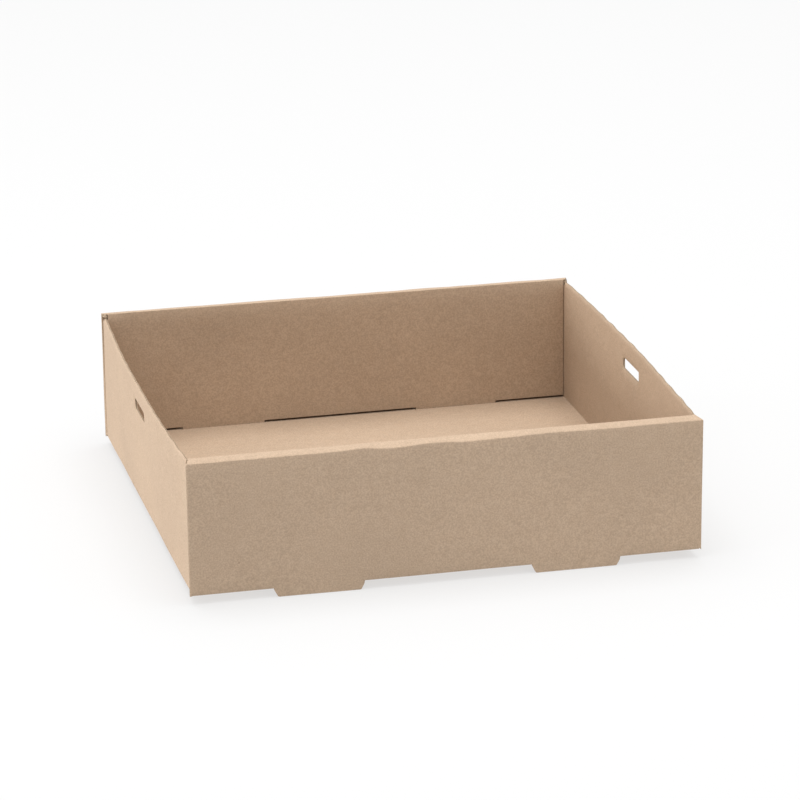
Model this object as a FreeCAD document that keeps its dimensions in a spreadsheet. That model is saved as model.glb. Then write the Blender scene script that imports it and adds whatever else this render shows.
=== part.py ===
# Open catering tray of brown corrugated board: one die-cut sheet, folded up and locked by its own tabs.
# Millimetres. The origin is the middle of the footprint, at the bottom of the feet, with +Z up, the front
# wall on -Y and the plain side walls on -X and +X.

import FreeCAD, Part
import math
import os

import Sketcher

SIZES = [
    # name, value, what it is
    ("tray_width", "225", "outside, across the cut ends of the front and back walls"),
    ("tray_depth", "225", "outside, from front face to back face"),
    ("wall_height", "59.5", "from the underside of the base to the top of the front and back walls"),
    ("board", "1.6", "thickness of the corrugated board"),
    ("layer_gap", "0.4", "air between two layers of board in the front and back walls"),
    ("fold_outer_radius", "1.2", "outside of a fold"),
    ("fold_inner_radius", "0.3", "inside of a fold"),
    ("side_inset", "1.0", "side walls stand this far in from the ends of the front and back walls"),
    ("side_drop", "0.9", "top edge of the side walls below the top of the front and back walls"),
    ("side_bow", "2.8", "how far the middle of a side wall's top edge leans out"),
    ("edge_clearance", "0.3", "between a cut edge and the board that it nearly touches"),
    ("floor_gap", "1.0", "between the base and the bottom edge of an inner panel"),
    ("flap_length", "52", "corner flap, from the outside of the side wall to its free end"),
    ("foot_width", "40", "foot at its root, and the slot beside it"),
    ("foot_spacing", "113", "between the middles of the two feet of a wall"),
    ("foot_drop", "3.6", "foot below the underside of the base"),
    ("foot_taper", "2.0", "how much narrower each side of the foot is at the bottom"),
    ("tab_clearance", "0.5", "between a tab of the inner panel and each end of its slot"),
    ("tab_reach", "1.0", "tab below the underside of the base"),
    ("tab_bevel", "2.0", "bevel on the bottom corners of a tab"),
    ("lid_slot_length", "27", "slot in a side wall, along the wall"),
    ("lid_slot_height", "4.7", "slot in a side wall, upwards"),
    ("lid_slot_drop", "8.1", "from the side wall's top edge to the top of its slot"),
    ("lid_slot_radius", "1.5", "rounded corners of the slot in a side wall"),
]

# Places that follow from the sizes, as formulas for the sketches
half_width = "(sizes.tray_width / 2)"
front = "(-sizes.tray_depth / 2)"
floor_level = "(sizes.foot_drop + sizes.board)"
top_level = "(sizes.foot_drop + sizes.wall_height)"
strip_depth = "(3 * sizes.board + 2 * sizes.layer_gap)"
side_face = f"({half_width} - sizes.side_inset)"
side_inner_face = f"({side_face} - sizes.board)"
side_top = f"({top_level} - sizes.side_drop)"
strip_underside = f"({top_level} - sizes.board)"
inner_panel_face = f"({front} + {strip_depth})"
flap_face = f"({front} + sizes.board + sizes.layer_gap)"
flap_inner_face = f"({flap_face} + sizes.board)"
flap_top = f"({strip_underside} - sizes.edge_clearance)"
# A fold takes up one board thickness beyond the board that stands up from it
front_fold_end = f"({front} + 2 * sizes.board)"
side_fold_end = f"({side_face} - 2 * sizes.board)"
side_fold_top = f"({floor_level} + sizes.board)"
side_wall_end = f"({flap_inner_face} + sizes.board)"
foot_middle = "(sizes.foot_spacing / 2)"
foot_left = f"({foot_middle} - sizes.foot_width / 2)"
foot_right = f"({foot_middle} + sizes.foot_width / 2)"
tab_left = f"({foot_left} + sizes.tab_clearance)"
tab_right = f"({foot_right} - sizes.tab_clearance)"
tab_bottom = "(sizes.foot_drop - sizes.tab_reach)"
inner_panel_bottom = f"({floor_level} + sizes.floor_gap)"
inner_panel_end = f"({side_inner_face} - sizes.edge_clearance)"
lid_slot_top = f"({side_top} - sizes.lid_slot_drop)"
lid_slot_bottom = f"({lid_slot_top} - sizes.lid_slot_height)"

doc = FreeCAD.newDocument("cardboard_tray")

sheet = doc.addObject("Spreadsheet::Sheet", "sizes")
for row, (name, value, note) in enumerate(SIZES, start=1):
    sheet.set(f"A{row}", name)
    sheet.set(f"B{row}", value)
    sheet.set(f"C{row}", note)
    sheet.setAlias(f"B{row}", name)
doc.recompute()

body = doc.addObject("PartDesign::Body", "folded_tray")
body.Label = "folded_tray"
body.Placement = FreeCAD.Placement()
doc.recompute()


def number(formula):
    """Value of a formula in the sizes."""
    return float(sheet.evalExpression(str(formula)))


def point(place):
    """Place given as two formulas, as a vector in a sketch."""
    across, along = place
    return FreeCAD.Vector(number(across), number(along), 0)


def origin_plane(role):
    """One of the body's own three origin planes."""
    for feature in body.Origin.OriginFeatures:
        if feature.Role == role:
            return feature
    raise ValueError(role)


def new_sketch(name, role, offset="0"):
    """Empty sketch on an origin plane, moved along the plane's normal."""
    sketch = body.newObject("Sketcher::SketchObject", name)
    sketch.AttachmentSupport = [(origin_plane(role), "")]
    sketch.MapMode = "FlatFace"
    sketch.setExpression("AttachmentOffset.Base.z", offset)
    return sketch


def bind(sketch, values, formula):
    """Adds a constraint whose value is a formula."""
    constraint = sketch.addConstraint(Sketcher.Constraint(*values, number(formula)))
    sketch.setExpression(f"Constraints[{constraint}]", formula)


def pin(sketch, edge, end, place):
    """Ties one end of an edge to a place given from the sketch's origin."""
    bind(sketch, ("DistanceX", -1, 1, edge, end), place[0])
    bind(sketch, ("DistanceY", -1, 1, edge, end), place[1])


def add_line(sketch, start, end):
    """Straight edge, as its number and the ends that the loop enters and leaves by."""
    return sketch.addGeometry(Part.LineSegment(point(start), point(end))), 1, 2


def add_arc(sketch, start, end, radius, turns_left):
    """Round edge, as its number and the ends that the loop enters and leaves by."""
    first, last = point(start), point(end)
    chord = last - first
    reach = math.sqrt(number(radius) ** 2 - (chord.Length / 2) ** 2)
    normal = FreeCAD.Vector(-chord.y, chord.x, 0).normalize()
    centre = (first + last) / 2 + normal * (reach if turns_left else -reach)
    circle = Part.Circle(centre, FreeCAD.Vector(0, 0, 1), number(radius))
    if not turns_left:
        first, last = last, first
    from_angle = math.atan2(first.y - centre.y, first.x - centre.x)
    to_angle = math.atan2(last.y - centre.y, last.x - centre.x)
    if to_angle < from_angle:
        to_angle += 2 * math.pi
    edge = sketch.addGeometry(Part.ArcOfCircle(circle, from_angle, to_angle))
    bind(sketch, ("Radius", edge), radius)
    return (edge, 1, 2) if turns_left else (edge, 2, 1)


def close_loop(sketch, edges, starts):
    """Joins the edges end to end and pins each one's start."""
    for index, (edge, enter, leave) in enumerate(edges):
        following, following_enter, _ = edges[(index + 1) % len(edges)]
        sketch.addConstraint(Sketcher.Constraint("Coincident", edge, leave, following, following_enter))
        pin(sketch, edge, enter, starts[index])


def direction(start, end):
    """Unit steps from one place to another, for legs that run along the sketch's axes."""
    step = point(end) - point(start)
    return round(step.x / step.Length), round(step.y / step.Length)


def draw(sketch, corners):
    """Closed outline through corners (across, along) or rounded corners (across, along, radius)."""
    stops = []
    for index, corner in enumerate(corners):
        place = corner[:2]
        if len(corner) == 2:
            stops.append((place, place, None, False))
            continue
        radius = corner[2]
        coming = direction(corners[index - 1][:2], place)
        going = direction(place, corners[(index + 1) % len(corners)][:2])
        enter = tuple(f"{place[k]} - {coming[k]} * {radius}" for k in range(2))
        leave = tuple(f"{place[k]} + {going[k]} * {radius}" for k in range(2))
        turns_left = coming[0] * going[1] - coming[1] * going[0] > 0
        stops.append((enter, leave, radius, turns_left))
    edges, starts = [], []
    for index, (enter, leave, radius, turns_left) in enumerate(stops):
        if radius:
            edges.append(add_arc(sketch, enter, leave, radius, turns_left))
            starts.append(enter)
        edges.append(add_line(sketch, leave, stops[(index + 1) % len(stops)][0]))
        starts.append(leave)
    close_loop(sketch, edges, starts)


def add_pad(name, sketch, length, reverse=False):
    """Sheet thickness or length given to an outline."""
    pad = body.newObject("PartDesign::Pad", name)
    pad.Profile = sketch
    pad.setExpression("Length", length)
    pad.Reversed = reverse
    doc.recompute()


def add_pocket(name, sketch, length, reverse=False):
    """Cut made from an outline, checked to have taken something away."""
    before = body.Shape.Volume
    pocket = body.newObject("PartDesign::Pocket", name)
    pocket.Profile = sketch
    pocket.setExpression("Length", length)
    pocket.Reversed = reverse
    doc.recompute()
    if body.Shape.Volume >= before:
        raise ValueError(f"{name} cuts nothing")


def mirror_all(name, role):
    """The other half, as a mirror image across an origin plane."""
    mirror = body.newObject("PartDesign::Mirrored", name)
    mirror.TransformMode = "Whole shape"
    mirror.MirrorPlane = (origin_plane(role), [""])
    body.Tip = mirror
    doc.recompute()


# Everything up to the two mirror images is the front right quarter of the tray

# Base panel, up to where the folds begin
base_outline = new_sketch("base_outline", "XY_Plane", "sizes.foot_drop")
draw(base_outline, [
    ("0", front_fold_end),
    (side_fold_end, front_fold_end),
    (side_fold_end, "0"),
    ("0", "0"),
])
add_pad("base_panel", base_outline, "sizes.board")

# Fold between the base and the side wall
side_fold_section = new_sketch("side_fold_section", "XZ_Plane")
draw(side_fold_section, [
    (side_fold_end, "sizes.foot_drop"),
    (side_face, "sizes.foot_drop", "sizes.fold_outer_radius"),
    (side_face, side_fold_top),
    (side_inner_face, side_fold_top),
    (side_inner_face, floor_level, "sizes.fold_inner_radius"),
    (side_fold_end, floor_level),
])
add_pad("side_fold", side_fold_section, f"-{side_wall_end}")

# Side wall: straight at its fold, and bowed outwards along its top edge
side_wall_foot = new_sketch("side_wall_foot", "XY_Plane", side_fold_top)
draw(side_wall_foot, [
    (side_inner_face, side_wall_end),
    (side_face, side_wall_end),
    (side_face, "0"),
    (side_inner_face, "0"),
])
side_wall_rim = new_sketch("side_wall_rim", "XY_Plane", side_top)
bow_radius = f"({side_wall_end}^2 / (2 * sizes.side_bow) + sizes.side_bow / 2)"
rim_corners = [
    (side_inner_face, side_wall_end),
    (side_face, side_wall_end),
    (f"{side_face} + sizes.side_bow", "0"),
    (f"{side_inner_face} + sizes.side_bow", "0"),
]
rim_edges = [
    add_line(side_wall_rim, rim_corners[0], rim_corners[1]),
    add_arc(side_wall_rim, rim_corners[1], rim_corners[2], bow_radius, True),
    add_line(side_wall_rim, rim_corners[2], rim_corners[3]),
    add_arc(side_wall_rim, rim_corners[3], rim_corners[0], bow_radius, False),
]
close_loop(side_wall_rim, rim_edges, rim_corners)
side_wall = body.newObject("PartDesign::AdditiveLoft", "side_wall")
side_wall.Profile = side_wall_foot
side_wall.Sections = [side_wall_rim]
side_wall.Ruled = True
doc.recompute()

# Step in the side wall's top edge, which lets the end pass under the front wall's top strip
step_outline = new_sketch("step_outline", "XY_Plane", flap_top)
draw(step_outline, [
    (f"{side_inner_face} - sizes.board", front),
    (f"{half_width} + sizes.side_bow", front),
    (f"{half_width} + sizes.side_bow", f"{inner_panel_face} + sizes.edge_clearance"),
    (f"{side_inner_face} - sizes.board", f"{inner_panel_face} + sizes.edge_clearance"),
])
add_pocket("step_under_strip", step_outline, "2 * sizes.board", reverse=True)

# Slot in the side wall for the tab of a lid
lid_slot_outline = new_sketch("lid_slot_outline", "YZ_Plane")
draw(lid_slot_outline, [
    ("0", lid_slot_top),
    ("-sizes.lid_slot_length / 2", lid_slot_top, "sizes.lid_slot_radius"),
    ("-sizes.lid_slot_length / 2", lid_slot_bottom, "sizes.lid_slot_radius"),
    ("0", lid_slot_bottom),
])
add_pocket("lid_slot", lid_slot_outline, f"{half_width} + sizes.side_bow", reverse=True)

# Corner flap: folded from the side wall's end, and trapped between the layers of the front wall
flap_section = new_sketch("flap_section", "XY_Plane", f"{floor_level} + sizes.edge_clearance")
draw(flap_section, [
    (side_face, side_wall_end),
    (side_inner_face, side_wall_end),
    (side_inner_face, flap_inner_face, "sizes.fold_inner_radius"),
    (f"{side_face} - sizes.flap_length", flap_inner_face),
    (f"{side_face} - sizes.flap_length", flap_face),
    (side_face, flap_face, "sizes.fold_outer_radius"),
])
add_pad("corner_flap", flap_section, f"{flap_top} - {floor_level} - sizes.edge_clearance")

# Outer panel of the front wall, with the fold at the base and the flat strip along the top
front_section = new_sketch("front_section", "YZ_Plane")
draw(front_section, [
    (front, "sizes.foot_drop", "sizes.fold_outer_radius"),
    (front_fold_end, "sizes.foot_drop"),
    (front_fold_end, floor_level),
    (f"({front} + sizes.board)", floor_level, "sizes.fold_inner_radius"),
    (f"({front} + sizes.board)", strip_underside, "sizes.fold_inner_radius"),
    (inner_panel_face, strip_underside),
    (inner_panel_face, top_level, "sizes.fold_outer_radius"),
    (front, top_level, "sizes.fold_outer_radius"),
])
add_pad("front_wall", front_section, half_width)

# Slot in the base, where the foot was cut free and the inner panel's tab goes in
slot_outline = new_sketch("slot_outline", "XY_Plane")
draw(slot_outline, [
    (foot_left, f"{front} + sizes.board"),
    (foot_right, f"{front} + sizes.board"),
    (foot_right, f"{inner_panel_face} + sizes.tab_clearance"),
    (foot_left, f"{inner_panel_face} + sizes.tab_clearance"),
])
add_pocket("base_slot", slot_outline, side_fold_top, reverse=True)

# Foot: stays in the plane of the outer panel when the wall is folded up
foot_outline = new_sketch("foot_outline", "XZ_Plane", f"-{front}")
draw(foot_outline, [
    (foot_left, side_fold_top),
    (foot_left, "sizes.foot_drop"),
    (f"{foot_left} + sizes.foot_taper", "0"),
    (f"{foot_right} - sizes.foot_taper", "0"),
    (foot_right, "sizes.foot_drop"),
    (foot_right, side_fold_top),
])
add_pad("foot", foot_outline, "sizes.board", reverse=True)

# Inner panel of the front wall, with the tab that drops into the slot
inner_outline = new_sketch("inner_outline", "XZ_Plane", f"-{inner_panel_face}")
draw(inner_outline, [
    ("0", strip_underside),
    ("0", inner_panel_bottom),
    (tab_left, inner_panel_bottom),
    (tab_left, f"{tab_bottom} + sizes.tab_bevel"),
    (f"{tab_left} + sizes.tab_bevel", tab_bottom),
    (f"{tab_right} - sizes.tab_bevel", tab_bottom),
    (tab_right, f"{tab_bottom} + sizes.tab_bevel"),
    (tab_right, inner_panel_bottom),
    (inner_panel_end, inner_panel_bottom),
    (inner_panel_end, strip_underside),
])
add_pad("inner_panel", inner_outline, "sizes.board")

# The whole sheet: the left half, and then the back half
mirror_all("left_half", "YZ_Plane")
mirror_all("back_half", "XZ_Plane")

# Checks before the solid is written
for thing in doc.Objects:
    if "Invalid" in thing.State or "Error" in thing.State:
        raise ValueError(f"{thing.Name} did not build: {thing.State}")
shape = body.Shape
if shape.isNull() or not shape.isValid() or len(shape.Solids) != 1:
    raise ValueError("folded_tray is not one valid solid")

os.makedirs("parts", exist_ok=True)
shape.exportStep(f"parts/{body.Label}.step")
box = shape.BoundBox
print(f"{body.Label}: volume {shape.Volume:.1f} mm3, faces {len(shape.Faces)}")
print(f"X {box.XMin:.2f} to {box.XMax:.2f}, Y {box.YMin:.2f} to {box.YMax:.2f}, Z {box.ZMin:.2f} to {box.ZMax:.2f}")
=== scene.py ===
import math

import bmesh
import bpy
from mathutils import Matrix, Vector


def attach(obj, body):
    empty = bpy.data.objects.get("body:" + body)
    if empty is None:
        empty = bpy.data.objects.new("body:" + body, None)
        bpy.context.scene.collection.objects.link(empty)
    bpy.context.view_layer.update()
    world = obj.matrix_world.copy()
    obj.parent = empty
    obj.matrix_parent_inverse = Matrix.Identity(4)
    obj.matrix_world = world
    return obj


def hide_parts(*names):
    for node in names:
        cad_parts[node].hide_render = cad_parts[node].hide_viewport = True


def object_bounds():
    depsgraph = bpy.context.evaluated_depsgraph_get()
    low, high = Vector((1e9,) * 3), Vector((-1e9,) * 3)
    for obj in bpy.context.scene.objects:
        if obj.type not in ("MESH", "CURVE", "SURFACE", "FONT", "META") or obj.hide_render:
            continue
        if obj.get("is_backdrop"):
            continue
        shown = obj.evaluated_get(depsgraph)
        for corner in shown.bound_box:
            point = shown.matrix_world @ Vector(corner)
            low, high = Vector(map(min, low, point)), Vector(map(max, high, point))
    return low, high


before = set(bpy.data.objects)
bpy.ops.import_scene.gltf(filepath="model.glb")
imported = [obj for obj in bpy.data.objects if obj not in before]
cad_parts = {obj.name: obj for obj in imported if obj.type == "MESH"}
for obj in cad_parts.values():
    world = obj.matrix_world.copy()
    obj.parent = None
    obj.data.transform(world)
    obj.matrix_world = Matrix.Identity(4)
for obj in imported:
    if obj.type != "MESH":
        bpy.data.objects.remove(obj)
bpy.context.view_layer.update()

# The folded sheet
# One die-cut blank of brown kraft corrugated board, 1.6 mm thick. The base stays flat, the front and back walls
# roll over into double walls, the side walls stand single with a hand-safe wavy cut, and nothing is glued.
MM = 0.001

# Places in millimetres from the middle of the footprint, each for the outside skin of the sheet
base_under = 3.6  # underside of the base
board = 1.6  # thickness of the board
face_x = 111.5  # side walls
face_y = 112.5  # front and back walls
end_x = 112.5  # cut ends of the front and back walls
strip_y = 106.9  # inner fold of the top strip
inner_end_x = 109.6  # cut ends of the inner panel
flap_y = 110.5  # corner flaps
flap_end_x = 59.5  # free ends of the corner flaps
flap_top = 61.2  # top of the corner flaps, and of the side walls where the strips pass over
roll_top_outer = 62.7  # outer fold of the top strip
roll_top_inner = 63.55  # inner fold of the top strip
side_top = 62.65  # top of the side walls between the strips
strip_end_x = 110.4  # inner corners of the top strip's cut ends
step_y = 106.4  # where the side walls step down for the strips
inner_bottom = 6.2  # bottom of the inner panel between its tabs
foot_from, foot_to = 36.5, 76.5
foot_taper = 2.0  # how far each side of a foot slopes in
tab_from, tab_to = 37.0, 76.0
tab_bottom = 2.6  # how low the tabs reach into the base's slots
lid_slot_from, lid_slot_to = -14.0, 11.6
lid_slot_low, lid_slot_high = 48.8, 53.7
crush_reach = 1.3  # width of the band that the knife crushes beside its cut
crush_share = 0.45  # share of the board's thickness that is left at the cut
slot_edge_y = 106.8  # inner edges of the base's slots
near_top = 60  # what lies higher belongs to the top strips
wall_from = 109  # what lies further out belongs to a side wall or to the ends beside it


def near(a, b, slack=0.02):
    """True where two measures in millimetres agree."""
    return abs(a - b) < slack


def edit(obj):
    """Opens one piece for editing, with nothing selected."""
    if bpy.context.mode != "OBJECT":
        bpy.ops.object.mode_set(mode="OBJECT")
    bpy.ops.object.select_all(action="DESELECT")
    bpy.context.view_layer.objects.active = obj
    obj.select_set(True)
    bpy.ops.object.mode_set(mode="EDIT")
    bpy.ops.mesh.select_all(action="DESELECT")


def pick(kind, test):
    """Selects the vertices, edges or faces whose every corner, in millimetres, passes the test."""
    bpy.ops.mesh.select_mode(type=kind)
    bpy.ops.mesh.select_all(action="DESELECT")
    mesh = bmesh.from_edit_mesh(bpy.context.object.data)
    parts = {"VERT": mesh.verts, "EDGE": mesh.edges, "FACE": mesh.faces}[kind]
    found = 0
    for part in parts:
        corners = [part] if kind == "VERT" else part.verts
        if all(test(*(v.co / MM)) for v in corners):
            part.select_set(True)
            found += 1
    mesh.select_flush_mode()
    bmesh.update_edit_mesh(bpy.context.object.data)
    return found


def pull(x, y, z):
    """Extrudes what is selected by a move in millimetres."""
    bpy.ops.mesh.extrude_region_move(TRANSFORM_OT_translate={"value": (x * MM, y * MM, z * MM)})


def move(x, y, z):
    """Moves what is selected by millimetres."""
    bpy.ops.transform.translate(value=(x * MM, y * MM, z * MM))


def cut(axis, place, test=None):
    """Cuts a line across the chosen faces, or across all of them, square to one axis."""
    if test is None:
        bpy.ops.mesh.select_mode(type="FACE")
        bpy.ops.mesh.select_all(action="SELECT")
    else:
        pick("FACE", test)
    spot, normal = [0, 0, 0], [0, 0, 0]
    spot["xyz".index(axis)] = place * MM
    normal["xyz".index(axis)] = 1
    bpy.ops.mesh.bisect(plane_co=spot, plane_no=normal, threshold=1e-7)


bpy.ops.object.select_all(action="DESELECT")
bpy.ops.mesh.primitive_plane_add(size=1, location=(0, 0, base_under * MM))
sheet = bpy.context.object
sheet.name = "folded_sheet"
edit(sheet)
bpy.ops.mesh.select_all(action="SELECT")
bpy.ops.transform.resize(value=(2 * face_x * MM, 2 * face_y * MM, 1))
bpy.ops.object.mode_set(mode="OBJECT")
bpy.ops.object.transform_apply(location=True, rotation=True, scale=True)
edit(sheet)
for side in (-1, 1):
    for x in (foot_from, foot_to, inner_end_x):
        cut("x", side * x)
    for y in (step_y, slot_edge_y, flap_y):
        cut("y", side * y)

for side in (-1, 1):
    # Outer panel, flat top strip, and the cut ends that stand 1 mm past the side walls and taper inwards
    pick("EDGE", lambda x, y, z: near(y, side * face_y))
    pull(0, 0, roll_top_outer - base_under)
    pull(0, -side * (face_y - strip_y), roll_top_inner - roll_top_outer)
    pick("EDGE", lambda x, y, z: near(y, side * strip_y) and z > near_top and abs(x) < inner_end_x + 0.1)
    pull(0, 0, inner_bottom - roll_top_inner)
    for end in (-1, 1):
        pick("EDGE", lambda x, y, z: near(x, end * face_x) and y * side > strip_y - 0.1
            and (z > near_top or near(y, side * face_y)))
        pull(end * (end_x - face_x), 0, 0)
        pick("VERT", lambda x, y, z: near(x, end * face_x) and near(y, side * strip_y) and z > near_top)
        move(end * (strip_end_x - 0.3 - face_x), 0, 0)
        pick("VERT", lambda x, y, z: near(x, end * end_x) and near(y, side * strip_y) and z > near_top)
        move(end * (strip_end_x - end_x), 0, 0)
    # Tabs on the inner panel
    for end in (-1, 1):
        for x in (tab_from, tab_to):
            cut("x", end * x, lambda x, y, z: near(y, side * strip_y) and z < roll_top_inner + 0.1)
        pick("EDGE", lambda x, y, z: near(z, inner_bottom) and tab_from - 0.1 < x * end < tab_to + 0.1)
        pull(0, 0, tab_bottom - inner_bottom)

# Slots in the base, and the feet that their cuts free
for side in (-1, 1):
    for end in (-1, 1):
        pick("FACE", lambda x, y, z: near(z, base_under) and y * side > slot_edge_y - 0.1
            and foot_from - 0.1 < x * end < foot_to + 0.1)
        bpy.ops.mesh.delete(type="FACE")
        pick("EDGE", lambda x, y, z: near(z, base_under) and near(y, side * face_y)
            and foot_from - 0.1 < x * end < foot_to + 0.1)
        pull(0, 0, -base_under)
        pick("VERT", lambda x, y, z: near(z, 0) and near(x, end * foot_from) and near(y, side * face_y))
        move(end * foot_taper, 0, 0)
        pick("VERT", lambda x, y, z: near(z, 0) and near(x, end * foot_to) and near(y, side * face_y))
        move(-end * foot_taper, 0, 0)

for end in (-1, 1):
    # Side wall, lower at both ends where the strips pass over it, with a corner flap at each end
    pick("EDGE", lambda x, y, z: near(x, end * face_x) and near(z, base_under) and abs(y) < flap_y + 0.1)
    pull(0, 0, inner_bottom - base_under)
    pull(0, 0, flap_top - inner_bottom)
    pick("EDGE", lambda x, y, z: near(x, end * face_x) and near(z, flap_top) and abs(y) < step_y + 0.1)
    pull(0, 0, side_top - flap_top)
    for side in (-1, 1):
        pick("EDGE", lambda x, y, z: near(x, end * face_x) and near(y, side * flap_y)
            and z > inner_bottom - 0.1)
        pull(-end * (face_x - flap_end_x), 0, 0)
    # Lock slot for a lid
    for y in (lid_slot_from, lid_slot_to):
        cut("y", y, lambda x, y, z: near(x, end * face_x))
    for z in (lid_slot_low, lid_slot_high):
        cut("z", z, lambda x, y, z: near(x, end * face_x) and lid_slot_from - 0.1 < y < lid_slot_to + 0.1)
    pick("FACE", lambda x, y, z: near(x, end * face_x) and lid_slot_from - 0.1 < y < lid_slot_to + 0.1
        and lid_slot_low - 0.1 < z < lid_slot_high + 0.1)
    bpy.ops.mesh.delete(type="FACE")

# Folded by hand, so the back wall's strip stands a little higher, most at its left end, and the panels' ends
# aren't quite square: stretch of the wall, rise of its outer fold, rise of its inner fold
for low, high, outer, inner in ((-120, -60, 0.9, 1.05), (-60, 0, 0.85, 0.9), (0, 60, 0.6, 0.6),
        (60, 120, 0.4, 0.55)):
    pick("VERT", lambda x, y, z: low < x < high and near(y, face_y) and z > near_top)
    move(0, 0, outer)
    pick("VERT", lambda x, y, z: low < x < high and near(y, strip_y) and z > near_top)
    move(0, 0, inner)
for shift, test in (
    (0.6, lambda x, y, z: x < -end_x + 0.1 and y > 112),
    (0.35, lambda x, y, z: x > end_x - 0.1 and y < -112 and z > 50),
    (-0.25, lambda x, y, z: x > end_x - 0.1 and y < -112 and z < 10),
):
    pick("VERT", test)
    move(shift, 0, 0)

bpy.ops.mesh.select_all(action="SELECT")
bpy.ops.mesh.remove_doubles(threshold=1e-6)
bpy.ops.mesh.normals_make_consistent(inside=False)
bpy.ops.object.mode_set(mode="OBJECT")
base_normal = max((f for f in sheet.data.polygons if near(f.center.z / MM, base_under)),
    key=lambda f: f.area).normal.z
if base_normal > 0:
    edit(sheet)
    bpy.ops.mesh.select_all(action="SELECT")
    bpy.ops.mesh.flip_normals()
    bpy.ops.object.mode_set(mode="OBJECT")

# The flutes run from side to side on the blank, so they lie flat in the front and back walls and stand upright in
# the side walls. The map's U counts across the flutes in millimetres, and V goes from one liner to the other.
flute_map = sheet.data.uv_layers.new(name="flutes")
for face in sheet.data.polygons:
    across = 1
    if abs(face.normal.y) > 0.5:
        across = 0 if near(abs(face.center.y / MM), flap_y) else 2
    for loop in face.loop_indices:
        place = sheet.data.vertices[sheet.data.loops[loop].vertex_index].co
        flute_map.data[loop].uv = (place[across] / MM, 0)

sheet.vertex_groups.new(name="inner_skin")
thicken = sheet.modifiers.new("board", "SOLIDIFY")
thicken.thickness = board * MM
thicken.offset = -1
thicken.use_even_offset = True
thicken.material_offset_rim = 1
thicken.shell_vertex_group = "inner_skin"
sheet.data.materials.append(None)
sheet.data.materials.append(None)
bpy.ops.object.modifier_apply(modifier="board")
flute_map = sheet.data.uv_layers["flutes"]
skin_index = sheet.vertex_groups["inner_skin"].index
for loop in sheet.data.loops:
    inside = any(g.group == skin_index and g.weight > 0.5 for g in sheet.data.vertices[loop.vertex_index].groups)
    flute_map.data[loop.index].uv = (flute_map.data[loop.index].uv[0], 1.0 if inside else 0.0)


def pick_edges(test):
    """Selects edges by a test on the edge itself, for rounding."""
    bpy.ops.mesh.select_mode(type="EDGE")
    bpy.ops.mesh.select_all(action="DESELECT")
    mesh = bmesh.from_edit_mesh(bpy.context.object.data)
    for edge in mesh.edges:
        if len(edge.link_faces) == 2 and test(edge, edge.link_faces[0], edge.link_faces[1]):
            edge.select_set(True)
    bmesh.update_edit_mesh(bpy.context.object.data)


def sharp(one, two):
    """True where two faces meet at a corner."""
    return one.normal.angle(two.normal) > math.radians(40)


def outside(face, layer):
    """True for a face of the outer liner."""
    return all(loop[layer].uv[1] < 0.5 for loop in face.loops)


# Roundings in millimetres: the punched corners, the folds, and the liners where they turn in at a cut
slot_corner, tab_corner, foot_corner = 2.0, 2.0, 0.4
base_fold, strip_fold, inner_fold = 1.2, 0.45, 0.3
liner_turn = 0.15
edit(sheet)
pick_edges(lambda e, a, b: a.material_index == b.material_index == 1 and sharp(a, b)
    and all(abs(v.co.x / MM) > 108 and abs(v.co.y / MM) < 16 and 47 < v.co.z / MM < 56 for v in e.verts))
bpy.ops.mesh.bevel(offset=slot_corner * MM, segments=5, profile=0.5, affect="EDGES")
# The knife crushes the side walls' edges thin, along the top and around the lid's slots
for end in (-1, 1):
    for y in (lid_slot_from - crush_reach, lid_slot_to + crush_reach):
        cut("y", y, lambda x, y, z: wall_from < x * end)
    for z in (lid_slot_low - crush_reach, lid_slot_high + crush_reach):
        cut("z", z, lambda x, y, z: wall_from < x * end
            and lid_slot_from - crush_reach - 0.1 < y < lid_slot_to + crush_reach + 0.1)
    cut("z", side_top - crush_reach, lambda x, y, z: wall_from < x * end and z > 56 and abs(y) < step_y + 0.1)
    for test in (
        lambda x, y, z: wall_from < x * end and z > side_top - 0.1 and abs(y) < step_y + 0.1,
        lambda x, y, z: wall_from < x * end and lid_slot_from - 0.1 < y < lid_slot_to + 0.1
        and lid_slot_low - 0.1 < z < lid_slot_high + 0.1,
    ):
        pick("VERT", test)
        bpy.ops.transform.resize(value=(crush_share, 1, 1),
            center_override=(end * (face_x - board / 2) * MM, 0, 0))
pick_edges(lambda e, a, b: a.material_index == b.material_index == 1 and sharp(a, b)
    and all(near(v.co.z / MM, tab_bottom) and abs(v.co.y / MM) < 109 for v in e.verts))
bpy.ops.mesh.bevel(offset=tab_corner * MM, segments=1, affect="EDGES")
pick_edges(lambda e, a, b: a.material_index == b.material_index == 1 and sharp(a, b)
    and all(v.co.z / MM < 0.1 for v in e.verts))
bpy.ops.mesh.bevel(offset=foot_corner * MM, segments=2, affect="EDGES")
layer = bmesh.from_edit_mesh(sheet.data).loops.layers.uv["flutes"]
pick_edges(lambda e, a, b: a.material_index == b.material_index == 0 and sharp(a, b)
    and outside(a, layer) and outside(b, layer) and e.verts[0].co.z / MM < flap_top + 0.1)
bpy.ops.mesh.bevel(offset=base_fold * MM, segments=4, profile=0.5, affect="EDGES", clamp_overlap=False)
layer = bmesh.from_edit_mesh(sheet.data).loops.layers.uv["flutes"]
pick_edges(lambda e, a, b: a.material_index == b.material_index == 0 and sharp(a, b)
    and outside(a, layer) and outside(b, layer) and e.verts[0].co.z / MM > roll_top_outer - 0.1)
bpy.ops.mesh.bevel(offset=strip_fold * MM, segments=3, profile=0.5, affect="EDGES", clamp_overlap=False)
layer = bmesh.from_edit_mesh(sheet.data).loops.layers.uv["flutes"]
pick_edges(lambda e, a, b: a.material_index == b.material_index == 0 and sharp(a, b)
    and not outside(a, layer) and not outside(b, layer))
bpy.ops.mesh.bevel(offset=inner_fold * MM, segments=2, profile=0.5, affect="EDGES", clamp_overlap=False)
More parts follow.
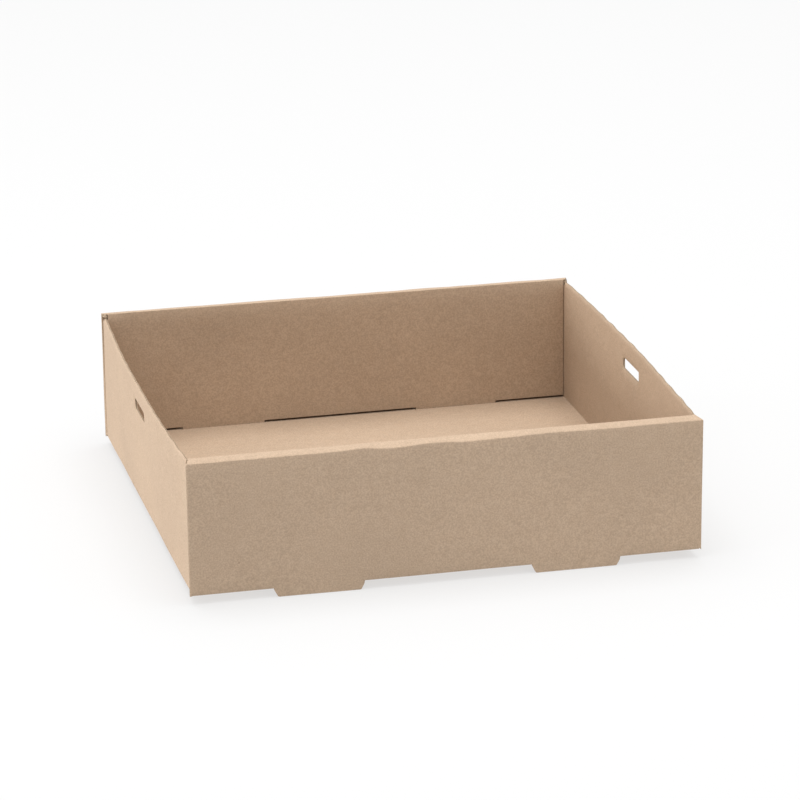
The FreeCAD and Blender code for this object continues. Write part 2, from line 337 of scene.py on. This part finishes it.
# Both liners turn in a little at every cut edge
pick_edges(lambda e, a, b: a.material_index != b.material_index and sharp(a, b))
bpy.ops.mesh.bevel(offset=liner_turn * MM, segments=1, profile=0.5, affect="EDGES", clamp_overlap=True,
    material=0)

# Lines across the whole sheet, close enough together for it to bend softly
line_gap, line_count = 2.5, 42
for place in range(-100, 101, 5):
    cut("x", place + 0.3)
for step in range(-line_count, line_count + 1):
    cut("y", step * line_gap)
for place in range(9, 61, 6):
    cut("z", place)
bpy.ops.object.mode_set(mode="OBJECT")

# The side walls' top edges are cut with a shallow wave, so that they don't cut a finger
wave_pitch = 16.4
wave_height = 0.19
edit(sheet)
for step in range(-line_count, line_count + 1):
    place = step * line_gap
    found = pick("VERT", lambda x, y, z: near(y, place) and z > side_top - 0.4 and abs(x) > wall_from
        and abs(y) < step_y - 0.5)
    if found:
        uneven = 1 + 0.35 * math.sin(place / 17) + 0.25 * math.sin(place / 7 + 2)
        move(0, 0, wave_height * uneven * math.cos(2 * math.pi * place / wave_pitch))
bpy.ops.object.mode_set(mode="OBJECT")

# The single side walls lean out a little in the middle, as they do when the tray is folded up
bow_right, bow_left = 2.8, 3.0
cage_width, cage_height = 226, 66
bpy.ops.object.add(type="LATTICE", location=(0, 0, cage_height / 2 * MM))
cage = bpy.context.object
cage.name = "bending_cage"
cage.scale = (cage_width * MM, cage_width * MM, cage_height * MM)
cage.data.points_u, cage.data.points_v, cage.data.points_w = 2, 9, 2
cage.data.interpolation_type_u = cage.data.interpolation_type_w = "KEY_LINEAR"
cage.data.interpolation_type_v = "KEY_CATMULL_ROM"
for point in cage.data.points:
    if point.co.z > 0:
        along = 2 * point.co.y
        lean = (bow_right if point.co.x > 0 else -bow_left) * (1 - along * along) ** 0.95
        point.co_deform.x += lean / cage_width
bpy.context.view_layer.update()
bend = sheet.modifiers.new("bend", "LATTICE")
bend.object = cage
bpy.context.view_layer.objects.active = sheet
bpy.ops.object.select_all(action="DESELECT")
sheet.select_set(True)
bpy.ops.object.modifier_apply(modifier="bend")
bpy.data.objects.remove(cage)


def ripple(name, size, height, direction, group=None):
    """Moves the sheet gently along one axis by a soft cloud pattern, sizes in millimetres."""
    pattern = bpy.data.textures.new(name, "CLOUDS")
    pattern.noise_scale = size * MM
    pattern.noise_depth = 1
    change = sheet.modifiers.new(name, "DISPLACE")
    change.texture = pattern
    change.texture_coords = "LOCAL"
    change.direction = direction
    change.strength = height * MM
    change.mid_level = 0.5
    if group:
        change.vertex_group = group
    bpy.ops.object.modifier_apply(modifier=name)


# Slight unevenness of hand-folded board, and the crushed outer fold of the front and back walls
ripple("uneven_x", 70, 1.0, "X")
ripple("uneven_y", 60, 0.9, "Y")
crushed = sheet.vertex_groups.new(name="crushed_fold")
for vertex in sheet.data.vertices:
    x, y, z = vertex.co / MM
    if z > 60.5 and abs(y) > 110:
        crushed.add([vertex.index], 1.0, "REPLACE")
ripple("crushed", 14, 0.5, "Z", "crushed_fold")
# Dents and rises that the folding hands left along the front wall's outer fold: middle, half width, height
dents = ((-38.8, 9, 0.35), (-23.0, 10, -0.55), (-4.0, 8, 0.2), (10.0, 12, -0.6), (24.0, 10, -0.45),
    (48.0, 9, 0.1), (76.0, 12, -0.3))
edit(sheet)
for middle, reach, rise in dents:
    for part in (0.25, 0.5, 0.75, 1.0):
        if pick("VERT", lambda x, y, z: y < -110 and z > 60.5 and abs(x - middle) < reach * part):
            move(0, 0, rise / 4)
bpy.ops.object.mode_set(mode="OBJECT")
bpy.ops.object.shade_smooth_by_angle(angle=math.radians(30))


def linear(code):
    """Linear colour of an sRGB hex code."""
    levels = [int(code[i:i + 2], 16) / 255 for i in (1, 3, 5)]
    return [c / 12.92 if c <= 0.04045 else ((c + 0.055) / 1.055) ** 2.4 for c in levels] + [1]


def node(tree, kind, settings=None, **links):
    """Adds a node, sets its fields, and fills its inputs with values or with another node's output."""
    made = tree.nodes.new(kind)
    for field, value in (settings or {}).items():
        setattr(made, field, value)
    for name, value in links.items():
        place = int(name[1:]) if name[0] == "i" and name[1:].isdigit() else name.replace("_", " ")
        socket = made.inputs[place]
        if isinstance(value, bpy.types.NodeSocket):
            tree.links.new(value, socket)
        else:
            socket.default_value = value
    return made


# Uncoated kraft liner: brown recycled fibre pressed smooth, so it is matt, finely speckled and softly mottled,
# with a few dark flecks. Its flutes show through as the faintest ribs, 3.3 mm apart. The grain, 0.7 mm across, and
# the flecks, 1.6 mm apart, are drawn coarser than the real fibre, because finer ones wouldn't show.
liner = bpy.data.materials.new("kraft_liner_uncoated")
liner.use_nodes = True
tree = liner.node_tree
tree.nodes.clear()
flute_pitch = 3.3
rib_height_mm, grain_height_mm = 0.004, 0.05
place = node(tree, "ShaderNodeTexCoord").outputs["Object"]
flutes = node(tree, "ShaderNodeSeparateXYZ",
    Vector=node(tree, "ShaderNodeUVMap", {"uv_map": "flutes"}).outputs["UV"])
grain = node(tree, "ShaderNodeTexNoise", Vector=place, Scale=1500.0, Detail=1.0, Roughness=0.5).outputs["Fac"]
fibre_map = node(tree, "ShaderNodeMapping", {"vector_type": "POINT"}, Vector=place, Rotation=(0.3, 0.5, 0.2),
    Scale=(160.0, 900.0, 900.0)).outputs["Vector"]
fibre = node(tree, "ShaderNodeTexNoise", Vector=fibre_map, Scale=1.0, Detail=2.0).outputs["Fac"]
mottle = node(tree, "ShaderNodeTexNoise", Vector=place, Scale=230.0, Detail=2.0, Roughness=0.5).outputs["Fac"]
cloud = node(tree, "ShaderNodeTexNoise", Vector=place, Scale=22.0, Detail=2.0).outputs["Fac"]
fleck = node(tree, "ShaderNodeTexNoise", Vector=place, Scale=620.0, Detail=1.0).outputs["Fac"]
base_colour = node(tree, "ShaderNodeMixRGB", {"blend_type": "MIX"}, Fac=mottle, Color1=linear("#AE967E"),
    Color2=linear("#B59E87")).outputs["Color"]
cloud_tone = node(tree, "ShaderNodeMapRange", Value=cloud, i1=0.3, i2=0.7, i3=0.965,
    i4=1.035).outputs["Result"]
grain_tone = node(tree, "ShaderNodeMapRange", Value=grain, i1=0.3, i2=0.7, i3=0.88, i4=1.12).outputs["Result"]
fibre_tone = node(tree, "ShaderNodeMapRange", Value=fibre, i1=0.3, i2=0.7, i3=0.98, i4=1.02).outputs["Result"]
tone = node(tree, "ShaderNodeMath", {"operation": "MULTIPLY"}, i0=cloud_tone, i1=grain_tone).outputs[0]
tone = node(tree, "ShaderNodeMath", {"operation": "MULTIPLY"}, i0=tone, i1=fibre_tone).outputs[0]
fleck_mask = node(tree, "ShaderNodeMapRange", Value=fleck, i1=0.775, i2=0.83, i3=0.0,
    i4=0.35).outputs["Result"]
toned = node(tree, "ShaderNodeVectorMath", {"operation": "SCALE"}, Vector=base_colour,
    Scale=tone).outputs["Vector"]
flecked = node(tree, "ShaderNodeMixRGB", {"blend_type": "MIX"}, Fac=fleck_mask, Color1=toned,
    Color2=linear("#6E5038")).outputs["Color"]
rib = node(tree, "ShaderNodeMath", {"operation": "SINE"},
    i0=node(tree, "ShaderNodeMath", {"operation": "MULTIPLY"}, i0=flutes.outputs["X"],
    i1=2 * math.pi / flute_pitch).outputs[0]).outputs[0]
rib_height = node(tree, "ShaderNodeMath", {"operation": "MULTIPLY"}, i0=rib, i1=rib_height_mm * MM).outputs[0]
grain_height = node(tree, "ShaderNodeMath", {"operation": "MULTIPLY"}, i0=grain,
    i1=grain_height_mm * MM).outputs[0]
height = node(tree, "ShaderNodeMath", {"operation": "ADD"}, i0=rib_height, i1=grain_height).outputs[0]
bump = node(tree, "ShaderNodeBump", Strength=1.0, Distance=1.0, Height=height).outputs["Normal"]
paper = node(tree, "ShaderNodeBsdfPrincipled", Base_Color=flecked, Roughness=0.88, Normal=bump)
node(tree, "ShaderNodeOutputMaterial", Surface=paper.outputs["BSDF"])
sheet.data.materials[0] = liner

# Die-cut edge of the board: two liners with the wavy middle paper between them, torn soft by the knife, so it is
# lighter and fluffier than the faces. Where the flutes end, the hollows get painted shade.
hollow_depth_mm, fray_height_mm = 0.25, 0.12
cut_edge = bpy.data.materials.new("corrugated_board_cut_edge")
cut_edge.use_nodes = True
tree = cut_edge.node_tree
tree.nodes.clear()
place = node(tree, "ShaderNodeTexCoord").outputs["Object"]
flutes = node(tree, "ShaderNodeSeparateXYZ",
    Vector=node(tree, "ShaderNodeUVMap", {"uv_map": "flutes"}).outputs["UV"])
fray = node(tree, "ShaderNodeTexNoise", Vector=place, Scale=900.0, Detail=2.0).outputs["Fac"]
wobble = node(tree, "ShaderNodeMapRange",
    Value=node(tree, "ShaderNodeTexNoise", Vector=place, Scale=260.0, Detail=1.0).outputs["Fac"], i1=0.3,
    i2=0.7, i3=-0.09, i4=0.09).outputs["Result"]
turn = node(tree, "ShaderNodeMath", {"operation": "MULTIPLY"}, i0=flutes.outputs["X"],
    i1=2 * math.pi / flute_pitch).outputs[0]
middle = node(tree, "ShaderNodeMath", {"operation": "MULTIPLY_ADD"},
    i0=node(tree, "ShaderNodeMath", {"operation": "SINE"}, i0=turn).outputs[0], i1=0.33, i2=0.5).outputs[0]
across = node(tree, "ShaderNodeMath", {"operation": "ADD"}, i0=flutes.outputs["Y"], i1=wobble).outputs[0]
from_middle = node(tree, "ShaderNodeMath", {"operation": "ABSOLUTE"},
    i0=node(tree, "ShaderNodeMath", {"operation": "SUBTRACT"}, i0=across, i1=middle).outputs[0]).outputs[0]
from_centre = node(tree, "ShaderNodeMath", {"operation": "ABSOLUTE"},
    i0=node(tree, "ShaderNodeMath", {"operation": "SUBTRACT"}, i0=across, i1=0.5).outputs[0]).outputs[0]
off_wave = node(tree, "ShaderNodeMapRange", {"interpolation_type": "SMOOTHSTEP"}, Value=from_middle, i1=0.10,
    i2=0.20, i3=0.0, i4=1.0).outputs["Result"]
off_liner = node(tree, "ShaderNodeMapRange", {"interpolation_type": "SMOOTHSTEP"}, Value=from_centre, i1=0.28,
    i2=0.36, i3=1.0, i4=0.0).outputs["Result"]
hollow_and_shade = node(tree, "ShaderNodeMath", {"operation": "MULTIPLY"}, i0=off_wave, i1=off_liner).outputs[0]
fluff = node(tree, "ShaderNodeMixRGB", {"blend_type": "MIX"}, Fac=fray, Color1=linear("#9A846C"),
    Color2=linear("#BDA78E")).outputs["Color"]
# Painted shade: the open flute ends between the wavy middle paper and the liners are darkened towards #4A3524,
# which stands in for the shade inside them. The same mask also sinks them in the bump.
edge_colour = node(tree, "ShaderNodeMixRGB", {"blend_type": "MIX"},
    Fac=node(tree, "ShaderNodeMath", {"operation": "MULTIPLY"}, i0=hollow_and_shade, i1=0.45).outputs[0], Color1=fluff,
    Color2=linear("#4A3524")).outputs["Color"]
depth = node(tree, "ShaderNodeMath", {"operation": "MULTIPLY"}, i0=hollow_and_shade,
    i1=-hollow_depth_mm * MM).outputs[0]
depth = node(tree, "ShaderNodeMath", {"operation": "ADD"}, i0=depth,
    i1=node(tree, "ShaderNodeMath", {"operation": "MULTIPLY"}, i0=fray,
    i1=fray_height_mm * MM).outputs[0]).outputs[0]
bump = node(tree, "ShaderNodeBump", Strength=1.0, Distance=1.0, Height=depth).outputs["Normal"]
edge_paper = node(tree, "ShaderNodeBsdfPrincipled", Base_Color=edge_colour, Roughness=0.95, Normal=bump)
node(tree, "ShaderNodeOutputMaterial", Surface=edge_paper.outputs["BSDF"])
sheet.data.materials[1] = cut_edge

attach(sheet, "root")
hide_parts("folded_tray")

# The floor
# A light table: a wide sheet of white acrylic, lit softly from below, so that shadows on it stay pale.
bpy.ops.object.select_all(action="DESELECT")
bpy.ops.mesh.primitive_plane_add(size=9, location=(0, 0, -0.0002))
floor = bpy.context.object
floor.name = "studio_floor"
acrylic = bpy.data.materials.new("opal_acrylic_light_table")
acrylic.use_nodes = True
tree = acrylic.node_tree
tree.nodes.clear()
acrylic_shader = node(tree, "ShaderNodeBsdfPrincipled", Base_Color=linear("#7C7C7C"), Roughness=0.95,
    Emission_Color=linear("#FFFFFF"), Emission_Strength=0.625)
node(tree, "ShaderNodeOutputMaterial", Surface=acrylic_shader.outputs["BSDF"])
floor.data.materials.append(acrylic)
floor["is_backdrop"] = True

# The light
# A large soft box overhead, a lower one from the left, a weak fill from the right, and a dome that is brightest
# at the top.
studio = bpy.data.worlds.new("studio_dome")
bpy.context.scene.world = studio
studio.use_nodes = True
tree = studio.node_tree
tree.nodes.clear()
sky = node(tree, "ShaderNodeSeparateXYZ",
    Vector=node(tree, "ShaderNodeTexCoord").outputs["Generated"]).outputs["Z"]
strength = node(tree, "ShaderNodeMath", {"operation": "MAXIMUM"},
    i0=node(tree, "ShaderNodeMath", {"operation": "MULTIPLY"}, i0=sky, i1=1.66).outputs[0], i1=0.0).outputs[0]
dome = node(tree, "ShaderNodeBackground", Color=linear("#FFFFFF"), Strength=strength)
node(tree, "ShaderNodeOutputWorld", Surface=dome.outputs["Background"])


def soft_box(name, place, size, power):
    """Adds a rectangular area light that faces the tray."""
    lamp = bpy.data.lights.new(name, "AREA")
    lamp.energy = power
    lamp.shape = "RECTANGLE"
    lamp.size, lamp.size_y = size
    box = bpy.data.objects.new(name, lamp)
    box.location = place
    box.rotation_euler = (Vector((0, 0, 0.03)) - Vector(place)).to_track_quat("-Z", "Y").to_euler()
    bpy.context.scene.collection.objects.link(box)


soft_box("overhead_box", (0.0, 0.1, 1.8), (1.4, 1.4), 21.5)
soft_box("left_box", (-1.8, 0.0, 0.16), (1.0, 0.3), 20.5)
soft_box("right_fill", (0.7, -0.9, 0.2), (0.5, 0.3), 1.2)
bpy.context.scene.view_settings.view_transform = "Standard"

# The camera
# Placed as the photograph's own, low and to the left of the front wall, with a long lens.
lens = bpy.data.cameras.new("camera")
lens.lens = 189.69
lens.sensor_width = 36
lens.clip_start, lens.clip_end = 0.1, 30
camera = bpy.data.objects.new("camera", lens)
camera.location = (-0.39060, -1.75836, 0.62715)
camera.rotation_euler = [math.radians(a) for a in (72.12291, 0.83008, -12.94695)]
bpy.context.scene.collection.objects.link(camera)
bpy.context.scene.camera = camera

low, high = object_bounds()
